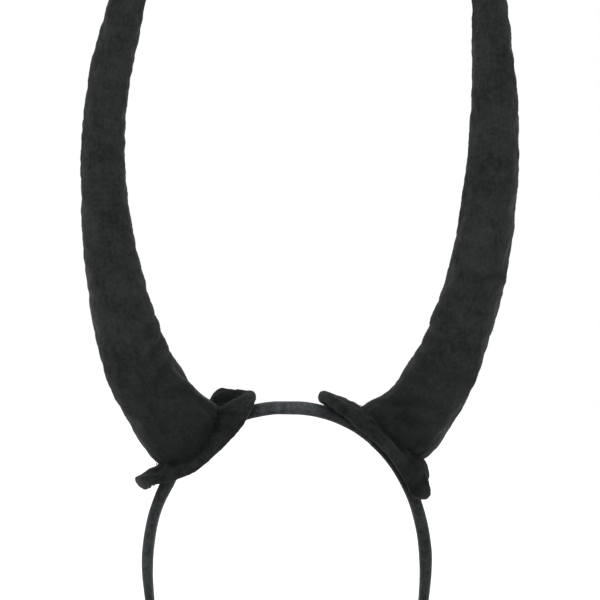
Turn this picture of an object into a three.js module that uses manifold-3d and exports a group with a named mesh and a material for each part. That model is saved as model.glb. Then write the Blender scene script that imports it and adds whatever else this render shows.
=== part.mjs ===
// Costume headband with two tall stuffed horns.
// Millimetres. X runs across the head, Y to its back and Z up; the horn called left stands at -X.
// The origin is the inner side of the band at the top of the crown.
import * as THREE from 'three';
import { mergeVertices } from 'three/addons/utils/BufferGeometryUtils.js';
import Module from 'manifold-3d';

// ---------------------------------------------------------------- driving dimensions

// Clearance kept between two pieces that touch in life.
const GAP = 0.3;

// Inner outline of the band: a squarish arch over the crown, and arms that close in below it.
const BAND_RISE = 75;
const BAND_DROP = 101;
const BAND_SQUARENESS = 2.13;
const CROWN_FACET_ANGLE = 3.77;
const ARM_HINGE_ANGLE = 51.56;
const ARM_TIP_ANGLE = 123;
const BAND_STEP_ANGLE = 8;
const ARM_HINGE_HALF_GAP = 0.45;

// The sleeve is full over the crown, pressed flat under the pads, and slims to the arm tips.
// Each change of thickness happens between two angles from the crown.
const CROWN_FULLNESS = 0.8;
const CROWN_FADE_ANGLES = [14, 24];
const PRESSED_THICKNESS = 5.6;
const ARM_FADE_ANGLES = [50, 64];
const TIP_SLIMMING = 1.4;
const TIP_FADE_ANGLES = [84, 102];

// Band sections: a flat plastic core inside a velour sleeve.
const SLEEVE_HALF_DEPTH = 5.4;
const SLEEVE_WALL = 1.0;
const SLEEVE_INNER_CHAMFER = 0.9;
const SLEEVE_OUTER_CHAMFER = 1.5;
const CHAMFER_SPREAD = 1.6;
const CORE_CHAMFER = 0.5;
const CORE_END_INSET_ANGLE = 1.2;
const END_CAP_WALL = 0.9;
const END_CAP_INNER_CHAMFER = 1.1;
const END_CAP_OUTER_CHAMFER = 1.8;
const END_CAP_LENGTH_ANGLE = 6;
const END_CAP_FLOOR_ANGLE = 1.2;
const END_CAP_FLOOR_GAP_ANGLE = 0.3;

// Pad layers, measured inwards from the top of the cover.
const COVER_SKIN = 1.0;
const LINING_SKIN = 1.0;
const LAYER_GAP = 0.55;
const PAD_SECTORS = 36;
const PAD_RING_SCALES = [0.2, 0.4, 0.58, 0.74, 0.88];
const PAD_EDGE_ROLL = 1.4;
const PAD_EDGE_CORNER = 0.3;
const PAD_EDGE_CORNER_DEPTH = 0.8;
const HEM_INSET = 1.0;

// Where along a pad its shape changes: shares of its half length, or millimetres from its middle.
const FRONT_DROOP_REACH = [5, 36];
const BACK_RISE_DEPTH = 24;
const OUTER_LIFT_SHARES = [0.58, 1.2];
const TIP_SWELL_SHARES = [0.6, 0.95];
const CROWN_TAPER_SHARES = [0.2, 1];
const OUTER_CUT_SHARES = [0.4, 0.8];
const OUTER_CUT_DEPTHS = [-16, -9];

// Horn skin, stuffing and wire.
const HORN_SKIN = 1.0;
const HORN_FLATTENING = 0.95;
const HORN_SECTORS = 16;
const HORN_RINGS = 15;
const HORN_ROOT_DEPTH = 24;
const HORN_ROOT_SPREAD = 2;
const HORN_TIP_BLUNTNESS = 0.7;
const HORN_TIP_MIN_RADIUS = 0.4;
const INSET_TIP_SHORTENING = 0.012;
const BALL_RADIUS = 21.5;
const BALL_GAP = 0.8;
const BALL_SEGMENTS = 28;
const FOOT_BLOCK = 100;
const PAD_TRIM_DEPTH = 60;
const HALF_SPACE_SIZE = 800;
const WIRE_RADIUS = 1.25;
const WIRE_SECTORS = 8;
const WIRE_PIVOT_GAP = 0.6;
const WIRE_REACH = 0.86;
const WIRE_HOLE_OVERRUN = 0.01;
const WIRE_SLOT_HALF_ANGLE = 22;
const WIRE_SLOT_FLOOR = -1.2;
const WIRE_SLOT_SIDE_GAP = 0.5;
const WIRE_SLOT_OVERRUN = 3;
const WIRE_FOOT_LENGTH = 11;
const WIRE_FOOT_BEND = 1.2;
const WIRE_FOOT_GAP = 0.5;
const WIRE_FOOT_KINK = 0.3;

// Each side of the headband, with its arm, its pad and its horn. A drop is [millimetres, power];
// the front droop is given at the pad's outer end, middle and crown end; the back rim's rise is
// [height, place towards the crown, spread]. The horn's spine runs from its foot on the pad to
// its tip: [X, Z, width across] in the plane of the band.
const LEFT = {
  name: 'left',
  bandHalfWidth: 64.4,
  armThickness: 5.4,
  crownSide: 1,
  padCentre: [-43.4, -11.8],
  padTilt: 35.4,
  padHalfLength: 36,
  padHalfDepth: 23.5,
  padTop: 8,
  padPeak: 7,
  crownDrop: [8.6, 2],
  outerDrop: [10, 2],
  frontDroop: [2, 17.6, 28],
  frontPower: 2,
  backDroop: 8,
  backRise: [13.4, 22, 13],
  outerLift: 10,
  padThickness: 4.3,
  tipSwell: 0.5,
  bluntness: [2.8, 2.5],
  crownTaper: 0.24,
  outerCut: 0,
  spine: [
    [-53.5, -4.3, 38.0],
    [-63.8, 9.4, 35.0],
    [-75.8, 35.3, 31.7],
    [-83.0, 64.6, 27.6],
    [-87.0, 97.0, 23.3],
    [-88.3, 127.0, 20.9],
    [-85.7, 157.7, 20.4],
    [-78.6, 190.6, 18.8],
    [-69.6, 225.0, 15.0],
    [-61.6, 255.0, 10.2],
    [-54.6, 281.0, 4.6],
  ],
};
const RIGHT = {
  name: 'right',
  bandHalfWidth: 63.7,
  armThickness: 6,
  crownSide: -1,
  padCentre: [42.5, -14.6],
  padTilt: -42.6,
  padHalfLength: 36.8,
  padHalfDepth: 23.5,
  padTop: 11,
  padPeak: 0,
  crownDrop: [9.6, 1.8],
  outerDrop: [8.5, 5],
  frontDroop: [22, 8.3, 8.3],
  frontPower: 3.8,
  backDroop: 10,
  backRise: [7, -27, 9],
  outerLift: 0,
  padThickness: 4.8,
  tipSwell: 0.2,
  bluntness: [3, 2.3],
  crownTaper: 0,
  outerCut: 0.215,
  spine: [
    [54.4, -5.0, 36.8],
    [69.4, 12.7, 33.2],
    [82.3, 38.6, 30.1],
    [91.4, 68.6, 28.3],
    [97.1, 103.7, 26.7],
    [99.4, 142.1, 23.5],
    [98.1, 181.2, 19.1],
    [95.6, 217.0, 14.8],
    [92.2, 250.0, 10.2],
    [88.4, 281.0, 4.6],
  ],
};

// ---------------------------------------------------------------- mesh helpers

const wasm = await Module();
wasm.setup();

const radians = THREE.MathUtils.degToRad;
const smooth = THREE.MathUtils.smoothstep;
const SLOPE_STEP = 0.05;
const BAND_SLOPE_ANGLE = 0.5;
const SPINE_SLOPE_STEP = 0.005;

// Signed volume tells which way a closed mesh faces.
function signedVolume(points, faces) {
  const cross = new THREE.Vector3();
  let total = 0;
  for (const [a, b, c] of faces) {
    cross.crossVectors(points[b], points[c]);
    total += points[a].dot(cross) / 6;
  }
  return total;
}

function geometryFrom(points, faces) {
  const outward = signedVolume(points, faces) > 0;
  const indices = faces.flatMap(([a, b, c]) => (outward ? [a, b, c] : [a, c, b]));
  const geometry = new THREE.BufferGeometry();
  geometry.setAttribute('position', new THREE.Float32BufferAttribute(points.flatMap((p) => p.toArray()), 3));
  geometry.setIndex(indices);
  return geometry;
}

// A closed skin through rings of equal point count, with a pole at each end.
function skinBetweenPoles(rings, firstPole, lastPole) {
  const count = rings[0].length;
  const points = [firstPole, ...rings.flat(), lastPole];
  const faces = [];
  const at = (ring, i) => 1 + ring * count + (i % count);
  for (let i = 0; i < count; i += 1) {
    faces.push([0, at(0, i + 1), at(0, i)]);
    faces.push([points.length - 1, at(rings.length - 1, i), at(rings.length - 1, i + 1)]);
    for (let ring = 0; ring < rings.length - 1; ring += 1) {
      faces.push([at(ring, i), at(ring, i + 1), at(ring + 1, i + 1)]);
      faces.push([at(ring, i), at(ring + 1, i + 1), at(ring + 1, i)]);
    }
  }
  return geometryFrom(points, faces);
}

// A closed skin whose last ring joins its first again: a tube with a wall.
function skinInLoop(rings) {
  const count = rings[0].length;
  const points = rings.flat();
  const faces = [];
  const at = (ring, i) => (ring % rings.length) * count + (i % count);
  for (let i = 0; i < count; i += 1) {
    for (let ring = 0; ring < rings.length; ring += 1) {
      faces.push([at(ring, i), at(ring, i + 1), at(ring + 1, i + 1)]);
      faces.push([at(ring, i), at(ring + 1, i + 1), at(ring + 1, i)]);
    }
  }
  return geometryFrom(points, faces);
}

function centroid(ring) {
  const middle = new THREE.Vector3();
  for (const point of ring) {
    middle.add(point);
  }
  return middle.divideScalar(ring.length);
}

function cappedSkin(rings) {
  return skinBetweenPoles(rings, centroid(rings[0]), centroid(rings[rings.length - 1]));
}

function toSolid(geometry) {
  const bare = geometry.clone();
  bare.deleteAttribute('normal');
  bare.deleteAttribute('uv');
  const merged = mergeVertices(bare, 1e-4);
  return new wasm.Manifold(new wasm.Mesh({
    numProp: 3,
    vertProperties: new Float32Array(merged.attributes.position.array),
    triVerts: new Uint32Array(merged.index.array),
  }));
}

function toGeometry(solid) {
  const mesh = solid.getMesh();
  const geometry = new THREE.BufferGeometry();
  geometry.setAttribute('position', new THREE.Float32BufferAttribute(mesh.vertProperties, 3));
  geometry.setIndex(new THREE.Uint32BufferAttribute(mesh.triVerts, 1));
  return geometry;
}

// ---------------------------------------------------------------- materials

function cloth(name, colour) {
  return new THREE.MeshStandardMaterial({ name, color: new THREE.Color(colour), roughness: 0.95 });
}

function springyPlastic() {
  return new THREE.MeshStandardMaterial({
    name: 'core_plastic',
    color: new THREE.Color('#1c1c1d'),
    roughness: 0.5,
  });
}

function softWire() {
  return new THREE.MeshStandardMaterial({
    name: 'wire',
    color: new THREE.Color('#8d8f92'),
    roughness: 0.4,
    metalness: 1,
  });
}

const VELVET = cloth('velvet', '#2c2e2d');
const VELOUR = cloth('velour', '#3c3f40');
const LINING = cloth('lining', '#232424');
const FOAM = cloth('foam', '#3a3a3c');
const STUFFING = cloth('stuffing', '#dcdad4');
const CORE = springyPlastic();
const WIRE = softWire();

const group = new THREE.Group();
group.name = 'horn_headband';

function addPiece(name, geometry, material) {
  const mesh = new THREE.Mesh(geometry, material);
  mesh.name = name;
  group.add(mesh);
}

// ---------------------------------------------------------------- headband

const SQUARING = 2 / BAND_SQUARENESS;
const ARCH_RISE = BAND_RISE / Math.cos(radians(CROWN_FACET_ANGLE)) ** SQUARING;

// Point on the band's inner outline; the angle runs from the crown, positive to +X.
function bandPoint(angle) {
  const turn = radians(Math.abs(angle));
  const reach = angle < 0 ? -LEFT.bandHalfWidth : RIGHT.bandHalfWidth;
  const isArch = Math.abs(angle) <= 90;
  const across = isArch ? Math.sin(turn) ** SQUARING : Math.sin(turn);
  const up = isArch ? ARCH_RISE * Math.cos(turn) ** SQUARING : BAND_DROP * Math.cos(turn);
  return new THREE.Vector3(reach * across, 0, up - BAND_RISE);
}

function bandOutward(angle) {
  const ahead = bandPoint(angle + BAND_SLOPE_ANGLE);
  const behind = bandPoint(angle - BAND_SLOPE_ANGLE);
  const along = ahead.sub(behind).normalize();
  return new THREE.Vector3(-along.z, 0, along.x);
}

function bandThickness(angle) {
  const turn = Math.abs(angle);
  const arm = angle < 0 ? LEFT.armThickness : RIGHT.armThickness;
  return PRESSED_THICKNESS
    + CROWN_FULLNESS * (1 - smooth(turn, ...CROWN_FADE_ANGLES))
    + (arm - PRESSED_THICKNESS) * smooth(turn, ...ARM_FADE_ANGLES)
    - TIP_SLIMMING * smooth(turn, ...TIP_FADE_ANGLES);
}

// Stations along the band from one angle to another, at near-equal steps.
function bandAngles(from, to) {
  const steps = Math.max(1, Math.round(Math.abs(to - from) / BAND_STEP_ANGLE));
  return Array.from({ length: steps + 1 }, (_, i) => from + ((to - from) * i) / steps);
}

// Chamfered bar section: [outward, depth] pairs between two heights above the inner outline.
function barSection(low, high, halfDepth, chamferLow, chamferHigh) {
  return [
    [low, -halfDepth + chamferLow],
    [low + chamferLow, -halfDepth],
    [high - chamferHigh, -halfDepth],
    [high, -halfDepth + CHAMFER_SPREAD * chamferHigh],
    [high, halfDepth - CHAMFER_SPREAD * chamferHigh],
    [high - chamferHigh, halfDepth],
    [low + chamferLow, halfDepth],
    [low, halfDepth - chamferLow],
  ];
}

// A section of the band at an angle; sectionAt gives its outline for the band's thickness there.
function bandRing(angle, sectionAt) {
  const foot = bandPoint(angle);
  const outward = bandOutward(angle);
  const section = sectionAt(bandThickness(angle));
  return section.map(([out, depth]) => foot.clone().addScaledVector(outward, out).setY(depth));
}

function sleeveSection(thickness) {
  return barSection(0, thickness, SLEEVE_HALF_DEPTH, SLEEVE_INNER_CHAMFER, SLEEVE_OUTER_CHAMFER);
}

// The sleeve's section drawn in all round: its bore, or the core inside that.
function insetSection(thickness, inset) {
  return barSection(inset, thickness - inset, SLEEVE_HALF_DEPTH - inset, CORE_CHAMFER, CORE_CHAMFER);
}

function sleeveGeometry(angles) {
  const outside = angles.map((angle) => bandRing(angle, sleeveSection));
  const inside = angles.map((angle) => bandRing(angle, (thickness) => insetSection(thickness, SLEEVE_WALL)));
  return skinInLoop([...outside, ...inside.reverse()]);
}

function coreGeometry(angles) {
  const inset = SLEEVE_WALL + GAP;
  return cappedSkin(angles.map((angle) => bandRing(angle, (thickness) => insetSection(thickness, inset))));
}

// Folded cap over the arm's tip: a cup round the sleeve, closed below it.
function endCapGeometry(side) {
  const inner = (thickness) => barSection(
    -GAP,
    thickness + GAP,
    SLEEVE_HALF_DEPTH + GAP,
    SLEEVE_INNER_CHAMFER,
    SLEEVE_OUTER_CHAMFER,
  );
  const reach = GAP + END_CAP_WALL;
  const outer = (thickness) => barSection(
    -reach,
    thickness + reach,
    SLEEVE_HALF_DEPTH + reach,
    END_CAP_INNER_CHAMFER,
    END_CAP_OUTER_CHAMFER,
  );
  const mouth = ARM_TIP_ANGLE - END_CAP_LENGTH_ANGLE;
  const floor = ARM_TIP_ANGLE + END_CAP_FLOOR_GAP_ANGLE;
  const rings = [
    bandRing(side * floor, inner),
    bandRing(side * mouth, inner),
    bandRing(side * mouth, outer),
    bandRing(side * (floor + END_CAP_FLOOR_ANGLE), outer),
  ];
  return cappedSkin(rings);
}

function crownAngles() {
  const edge = ARM_HINGE_ANGLE - ARM_HINGE_HALF_GAP;
  const rightHalf = bandAngles(CROWN_FACET_ANGLE, edge);
  const leftHalf = rightHalf.map((angle) => -angle).reverse();
  return [...leftHalf, ...rightHalf];
}

function addHeadband() {
  addPiece('band_sleeve_crown', sleeveGeometry(crownAngles()), VELOUR);
  addPiece('band_core_crown', coreGeometry(crownAngles()), CORE);
  for (const [name, side] of [['left', -1], ['right', 1]]) {
    const top = ARM_HINGE_ANGLE + ARM_HINGE_HALF_GAP;
    const sleeveAngles = bandAngles(side * top, side * ARM_TIP_ANGLE);
    const coreAngles = bandAngles(side * top, side * (ARM_TIP_ANGLE - CORE_END_INSET_ANGLE));
    addPiece(`band_sleeve_${name}_arm`, sleeveGeometry(sleeveAngles), VELOUR);
    addPiece(`band_core_${name}_arm`, coreGeometry(coreAngles), CORE);
    addPiece(`${name}_end_cap`, endCapGeometry(side), VELOUR);
  }
}

// ---------------------------------------------------------------- pads

// The pad's own axes: along its length, to the back, and out from the band.
function padAxes(side) {
  const tilt = radians(side.padTilt);
  return {
    centre: new THREE.Vector3(side.padCentre[0], 0, side.padCentre[1]),
    along: new THREE.Vector3(Math.cos(tilt), 0, Math.sin(tilt)),
    out: new THREE.Vector3(-Math.sin(tilt), 0, Math.cos(tilt)),
  };
}

// How far the cover droops over the band at the front rim, at one place along the pad.
function frontDroopAt(side, towardCrown) {
  const [atOuter, atMiddle, atCrown] = side.frontDroop;
  return atMiddle
    + (atCrown - atMiddle) * smooth(towardCrown, ...FRONT_DROOP_REACH)
    + (atOuter - atMiddle) * smooth(-towardCrown, ...FRONT_DROOP_REACH);
}

// Height of the cover above the pad's chord: it sags to its ends, droops to the front and back,
// and one stretch of its back rim stands up.
function padHeight(side, u, v) {
  const towardCrown = side.crownSide * u;
  const crownShare = Math.max(0, towardCrown - side.padPeak) / side.padHalfLength;
  const outerShare = Math.max(0, side.padPeak - towardCrown) / side.padHalfLength;
  const depthShare = Math.abs(v) / side.padHalfDepth;
  const ends = side.crownDrop[0] * crownShare ** side.crownDrop[1]
    + side.outerDrop[0] * outerShare ** side.outerDrop[1];
  const lift = side.outerLift * smooth(-towardCrown / side.padHalfLength, ...OUTER_LIFT_SHARES);
  const along = side.padTop - ends + lift;
  if (v < 0) {
    return along - frontDroopAt(side, towardCrown) * depthShare ** side.frontPower;
  }
  const [rise, place, spread] = side.backRise;
  const hump = rise * Math.exp(-(((towardCrown - place) / spread) ** 2)) * smooth(v, 0, BACK_RISE_DEPTH);
  return along - side.backDroop * depthShare ** 2 + hump;
}

// Point offset square to the cover by the given height (negative is down into the pad).
// The pad is a little fuller at its outer tip.
function padPoint(side, u, v, offset) {
  const slopeU = (padHeight(side, u + SLOPE_STEP, v) - padHeight(side, u - SLOPE_STEP, v)) / (2 * SLOPE_STEP);
  const slopeV = (padHeight(side, u, v + SLOPE_STEP) - padHeight(side, u, v - SLOPE_STEP)) / (2 * SLOPE_STEP);
  const outerShare = (-side.crownSide * u) / side.padHalfLength;
  const fuller = 1 + side.tipSwell * smooth(outerShare, ...TIP_SWELL_SHARES);
  const normal = new THREE.Vector3(-slopeU, -slopeV, 1).normalize().multiplyScalar(offset * fuller);
  const { centre, along, out } = padAxes(side);
  return centre.clone()
    .addScaledVector(along, u + normal.x)
    .addScaledVector(out, padHeight(side, u, v) + normal.z)
    .setY(v + normal.y);
}

function signedPower(value, power) {
  return Math.sign(value) * Math.abs(value) ** power;
}

// A blunt oval, scaled, then drawn in by the inset. It narrows at the front where it nears the crown,
// and its outer end may be cut back except for a lobe at the front.
function padOutline(side, turn, scale, inset) {
  const [outerBluntness, crownBluntness] = side.bluntness;
  const power = 2 / (side.crownSide * Math.cos(turn) < 0 ? outerBluntness : crownBluntness);
  const u = (side.padHalfLength * scale - inset) * signedPower(Math.cos(turn), power);
  const v = (side.padHalfDepth * scale - inset) * signedPower(Math.sin(turn), power);
  const crownShare = (side.crownSide * u) / side.padHalfLength;
  const taper = v < 0 ? side.crownTaper * smooth(crownShare, ...CROWN_TAPER_SHARES) : 0;
  const cut = side.outerCut * smooth(v, ...OUTER_CUT_DEPTHS) * smooth(-crownShare, ...OUTER_CUT_SHARES);
  return [u * (1 - cut), v * (1 - taper)];
}

// One ring on the pad: [scale of the outline, inset from it, offset from the cover].
function padRing(side, [scale, inset, offset]) {
  return Array.from({ length: PAD_SECTORS }, (_, i) => {
    const [u, v] = padOutline(side, (2 * Math.PI * i) / PAD_SECTORS, scale, inset);
    return padPoint(side, u, v, offset);
  });
}

function padSolid(side, profile, topOffset, bottomOffset) {
  const rings = profile.map((row) => padRing(side, row));
  return skinBetweenPoles(rings, padPoint(side, 0, 0, topOffset), padPoint(side, 0, 0, bottomOffset));
}

// Velvet cover: the top, its rolled edge, and the hem turned under the lining's rim.
function padCoverGeometry(side) {
  const depth = side.padThickness;
  const profile = [
    ...PAD_RING_SCALES.map((scale) => [scale, 0, 0]),
    [1, PAD_EDGE_ROLL, 0],
    [1, PAD_EDGE_CORNER, -PAD_EDGE_CORNER_DEPTH],
    [1, 0, -depth / 2],
    [1, PAD_EDGE_CORNER, PAD_EDGE_CORNER_DEPTH - depth],
    [1, HEM_INSET, -depth],
    [1, HEM_INSET + COVER_SKIN, -depth],
    [1, HEM_INSET + COVER_SKIN, -COVER_SKIN],
    ...[...PAD_RING_SCALES].reverse().map((scale) => [scale, 0, -COVER_SKIN]),
  ];
  return padSolid(side, profile, 0, -COVER_SKIN);
}

// A flat layer of the pad between two depths, clear of the cover's hem.
function padLayerGeometry(side, top, bottom) {
  const inset = HEM_INSET + COVER_SKIN + LAYER_GAP;
  const scales = PAD_RING_SCALES.map((scale) => [scale, 0]);
  const outline = [...scales, [1, inset]];
  const profile = [
    ...outline.map(([scale, edge]) => [scale, edge, -top]),
    ...[...outline].reverse().map(([scale, edge]) => [scale, edge, -bottom]),
  ];
  return padSolid(side, profile, -top, -bottom);
}

// Everything below the cover's surface, used to trim what stands on the pad.
function padTrimSolid(side) {
  const outline = [...PAD_RING_SCALES.map((scale) => [scale, 0]), [1, PAD_EDGE_ROLL]];
  const { out } = padAxes(side);
  const tops = outline.map(([scale, inset]) => padRing(side, [scale, inset, GAP]));
  const rim = tops[tops.length - 1].map((point) => point.clone().addScaledVector(out, -PAD_TRIM_DEPTH));
  const rings = [...tops, rim];
  return toSolid(skinBetweenPoles(rings, padPoint(side, 0, 0, GAP), centroid(rim)));
}

function addPad(side) {
  const foamTop = COVER_SKIN + LAYER_GAP;
  const foamBottom = side.padThickness - LINING_SKIN - LAYER_GAP;
  const liningTop = side.padThickness - LINING_SKIN;
  addPiece(`${side.name}_pad_cover`, padCoverGeometry(side), VELVET);
  addPiece(`${side.name}_pad_foam`, padLayerGeometry(side, foamTop, foamBottom), FOAM);
  addPiece(`${side.name}_pad_lining`, padLayerGeometry(side, liningTop, side.padThickness), LINING);
}

// ---------------------------------------------------------------- horns

// The spine curve carries X, width and Z; it starts a little below the pad, square to it.
function hornSpine(side) {
  const { out } = padAxes(side);
  const [x, z, width] = side.spine[0];
  const root = new THREE.Vector3(x, width + HORN_ROOT_SPREAD, z).addScaledVector(out, -HORN_ROOT_DEPTH);
  const rows = side.spine.map(([rowX, rowZ, rowWidth]) => new THREE.Vector3(rowX, rowWidth, rowZ));
  return new THREE.CatmullRomCurve3([root, ...rows], false, 'centripetal');
}

function pivotPoint(side) {
  const [x, z] = side.spine[0];
  return new THREE.Vector3(x, 0, z);
}

// Centre, width and in-plane directions at one place on the spine.
function spineFrame(curve, place) {
  const sample = curve.getPoint(place);
  const ahead = curve.getPoint(Math.min(1, place + SPINE_SLOPE_STEP));
  const behind = curve.getPoint(Math.max(0, place - SPINE_SLOPE_STEP));
  const along = new THREE.Vector3(ahead.x - behind.x, 0, ahead.z - behind.z).normalize();
  return {
    centre: new THREE.Vector3(sample.x, 0, sample.z),
    width: sample.y,
    along,
    across: new THREE.Vector3(along.z, 0, -along.x),
  };
}

// An elliptical ring round the spine, drawn in by the inset; facets straddle both seams.
function hornRing(curve, place, inset) {
  const { centre, width, across } = spineFrame(curve, place);
  const halfWidth = width / 2 - inset;
  const halfDepth = (width * HORN_FLATTENING) / 2 - inset;
  return Array.from({ length: HORN_SECTORS }, (_, i) => {
    const turn = (2 * Math.PI * (i + 0.5)) / HORN_SECTORS;
    return centre.clone()
      .addScaledVector(across, halfWidth * Math.cos(turn))
      .setY(halfDepth * Math.sin(turn));
  });
}

// The horn's solid body drawn in by the inset, with a blunt rounded tip.
function hornBody(side, inset) {
  const curve = hornSpine(side);
  const reach = 1 - inset * INSET_TIP_SHORTENING;
  const rings = [];
  for (let i = 0; i <= HORN_RINGS; i += 1) {
    rings.push(hornRing(curve, (reach * i) / HORN_RINGS, inset));
  }
  const end = spineFrame(curve, reach);
  const tipRadius = Math.max(HORN_TIP_MIN_RADIUS, end.width / 2 - inset);
  const nose = end.centre.clone().addScaledVector(end.along, tipRadius * HORN_TIP_BLUNTNESS);
  return toSolid(skinBetweenPoles(rings, centroid(rings[0]), nose));
}

// The space kept by the horn's foot: a ball about the bend's pivot and all that lies below it.
function footSolid(side, radius) {
  const pivot = pivotPoint(side).toArray();
  const ball = new THREE.SphereGeometry(radius, BALL_SEGMENTS, BALL_SEGMENTS / 2);
  ball.translate(...pivot);
  const below = new THREE.BoxGeometry(FOOT_BLOCK, FOOT_BLOCK, FOOT_BLOCK);
  below.translate(0, 0, -FOOT_BLOCK / 2);
  below.rotateY(-radians(side.padTilt));
  below.translate(...pivot);
  return toSolid(ball).add(toSolid(below));
}

function halfSpaceSolid(facing) {
  const box = new THREE.BoxGeometry(HALF_SPACE_SIZE, HALF_SPACE_SIZE, HALF_SPACE_SIZE);
  box.translate(0, (facing * (HALF_SPACE_SIZE + GAP)) / 2, 0);
  return toSolid(box);
}

// A round rod through a list of points that lie in one plane across Y.
function rodGeometry(points, radius) {
  const rings = points.map((point, i) => {
    const ahead = points[Math.min(points.length - 1, i + 1)];
    const behind = points[Math.max(0, i - 1)];
    const along = ahead.clone().sub(behind).normalize();
    const across = new THREE.Vector3(along.z, 0, -along.x);
    return Array.from({ length: WIRE_SECTORS }, (_, k) => {
      const turn = (2 * Math.PI * k) / WIRE_SECTORS;
      return point.clone().addScaledVector(across, radius * Math.cos(turn)).setY(radius * Math.sin(turn));
    });
  });
  return cappedSkin(rings);
}

// The wire's line from just above the pivot up the spine.
function wireLine(side, startGap, reach) {
  const curve = hornSpine(side);
  const { out } = padAxes(side);
  const pivotPlace = 1 / side.spine.length;
  const points = [pivotPoint(side).addScaledVector(out, startGap)];
  for (let i = 1; i <= HORN_RINGS; i += 1) {
    const place = pivotPlace + ((reach - pivotPlace) * i) / HORN_RINGS;
    points.push(spineFrame(curve, place).centre);
  }
  return points;
}

// The wire's turned foot, lying on the pad towards the crown.
function wireFootLine(side, topGap) {
  const { centre, along, out } = padAxes(side);
  const toCrown = along.clone().multiplyScalar(side.crownSide);
  const pivot = pivotPoint(side);
  const fromCentre = pivot.clone().sub(centre);
  const u = fromCentre.dot(along);
  const padTopHere = Math.max(
    padHeight(side, u, 0),
    padHeight(side, u + side.crownSide * WIRE_FOOT_LENGTH, 0),
  );
  const drop = fromCentre.dot(out) - padTopHere - WIRE_RADIUS - WIRE_FOOT_GAP;
  const place = (outward, sideways) => pivot.clone()
    .addScaledVector(out, outward)
    .addScaledVector(toCrown, sideways);
  return [
    place(-topGap, 0),
    place(WIRE_FOOT_BEND - drop, 0),
    place(WIRE_FOOT_KINK * WIRE_FOOT_BEND - drop, WIRE_FOOT_KINK * WIRE_FOOT_BEND),
    place(-drop, WIRE_FOOT_BEND),
    place(-drop, WIRE_FOOT_LENGTH),
  ];
}

// Wedge-shaped slot in the cuff's stuffing, in which the wire swings as the horn bends.
function wireSlotSolid(side) {
  const { along, out } = padAxes(side);
  const top = BALL_RADIUS + WIRE_SLOT_OVERRUN;
  const foot = WIRE_RADIUS + WIRE_SLOT_SIDE_GAP;
  const mouth = foot + (top - WIRE_SLOT_FLOOR) * Math.tan(radians(WIRE_SLOT_HALF_ANGLE));
  const corners = [[-foot, WIRE_SLOT_FLOOR], [foot, WIRE_SLOT_FLOOR], [mouth, top], [-mouth, top]];
  const pivot = pivotPoint(side);
  const rings = [-foot, foot].map((depth) => corners.map(([sideways, outward]) => pivot.clone()
    .addScaledVector(along, sideways)
    .addScaledVector(out, outward)
    .setY(depth)));
  return toSolid(cappedSkin(rings));
}

function addHorn(side) {
  const skinBody = hornBody(side, 0);
  const lined = hornBody(side, HORN_SKIN);
  const fill = hornBody(side, HORN_SKIN + GAP);
  const socket = footSolid(side, BALL_RADIUS + BALL_GAP);
  const foot = footSolid(side, BALL_RADIUS);
  const pad = padTrimSolid(side);

  const shell = skinBody.subtract(lined);
  const risingShell = shell.subtract(socket);
  const frontPanel = risingShell.intersect(halfSpaceSolid(-1));
  const backPanel = risingShell.intersect(halfSpaceSolid(1));
  addPiece(`${side.name}_horn_front_panel`, toGeometry(frontPanel), VELVET);
  addPiece(`${side.name}_horn_back_panel`, toGeometry(backPanel), VELVET);

  const wireHoleReach = WIRE_REACH + WIRE_HOLE_OVERRUN;
  const wireHole = toSolid(rodGeometry(wireLine(side, WIRE_PIVOT_GAP, wireHoleReach), WIRE_RADIUS + GAP));
  const hornFill = fill.subtract(socket).subtract(wireHole);
  const wire = rodGeometry(wireLine(side, WIRE_PIVOT_GAP, WIRE_REACH), WIRE_RADIUS);
  addPiece(`${side.name}_horn_stuffing`, toGeometry(hornFill), STUFFING);
  addPiece(`${side.name}_horn_wire`, wire, WIRE);

  const cuff = shell.intersect(foot).subtract(pad);
  addPiece(`${side.name}_horn_cuff`, toGeometry(cuff), VELVET);
  const footHole = toSolid(rodGeometry(wireFootLine(side, 0), WIRE_RADIUS + GAP));
  const plug = fill.intersect(foot).subtract(pad).subtract(wireSlotSolid(side)).subtract(footHole);
  addPiece(`${side.name}_cuff_stuffing`, toGeometry(plug), STUFFING);
  addPiece(`${side.name}_wire_foot`, rodGeometry(wireFootLine(side, WIRE_PIVOT_GAP), WIRE_RADIUS), WIRE);
}

addHeadband();
for (const side of [LEFT, RIGHT]) {
  addPad(side);
  addHorn(side);
}

export default group;
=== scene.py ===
import math

import bpy
import numpy as np
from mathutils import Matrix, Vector, noise


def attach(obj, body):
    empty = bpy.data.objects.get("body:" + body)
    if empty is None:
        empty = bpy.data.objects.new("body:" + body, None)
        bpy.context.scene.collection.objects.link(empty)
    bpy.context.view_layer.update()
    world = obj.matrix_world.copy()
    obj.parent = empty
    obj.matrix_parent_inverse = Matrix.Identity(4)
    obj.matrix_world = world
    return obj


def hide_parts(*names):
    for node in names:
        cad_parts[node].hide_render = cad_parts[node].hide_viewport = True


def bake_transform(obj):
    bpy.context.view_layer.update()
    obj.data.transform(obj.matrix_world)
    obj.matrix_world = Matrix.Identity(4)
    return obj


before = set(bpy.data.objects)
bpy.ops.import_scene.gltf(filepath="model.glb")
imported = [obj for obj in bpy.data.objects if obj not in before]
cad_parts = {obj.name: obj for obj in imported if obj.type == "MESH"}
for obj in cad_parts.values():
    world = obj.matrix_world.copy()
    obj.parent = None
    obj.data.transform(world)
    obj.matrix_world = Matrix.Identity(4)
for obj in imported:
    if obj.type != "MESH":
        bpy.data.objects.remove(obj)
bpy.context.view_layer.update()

MM = 0.001

# ------------------------------------------------------------------ dimensions, in millimetres

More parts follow.
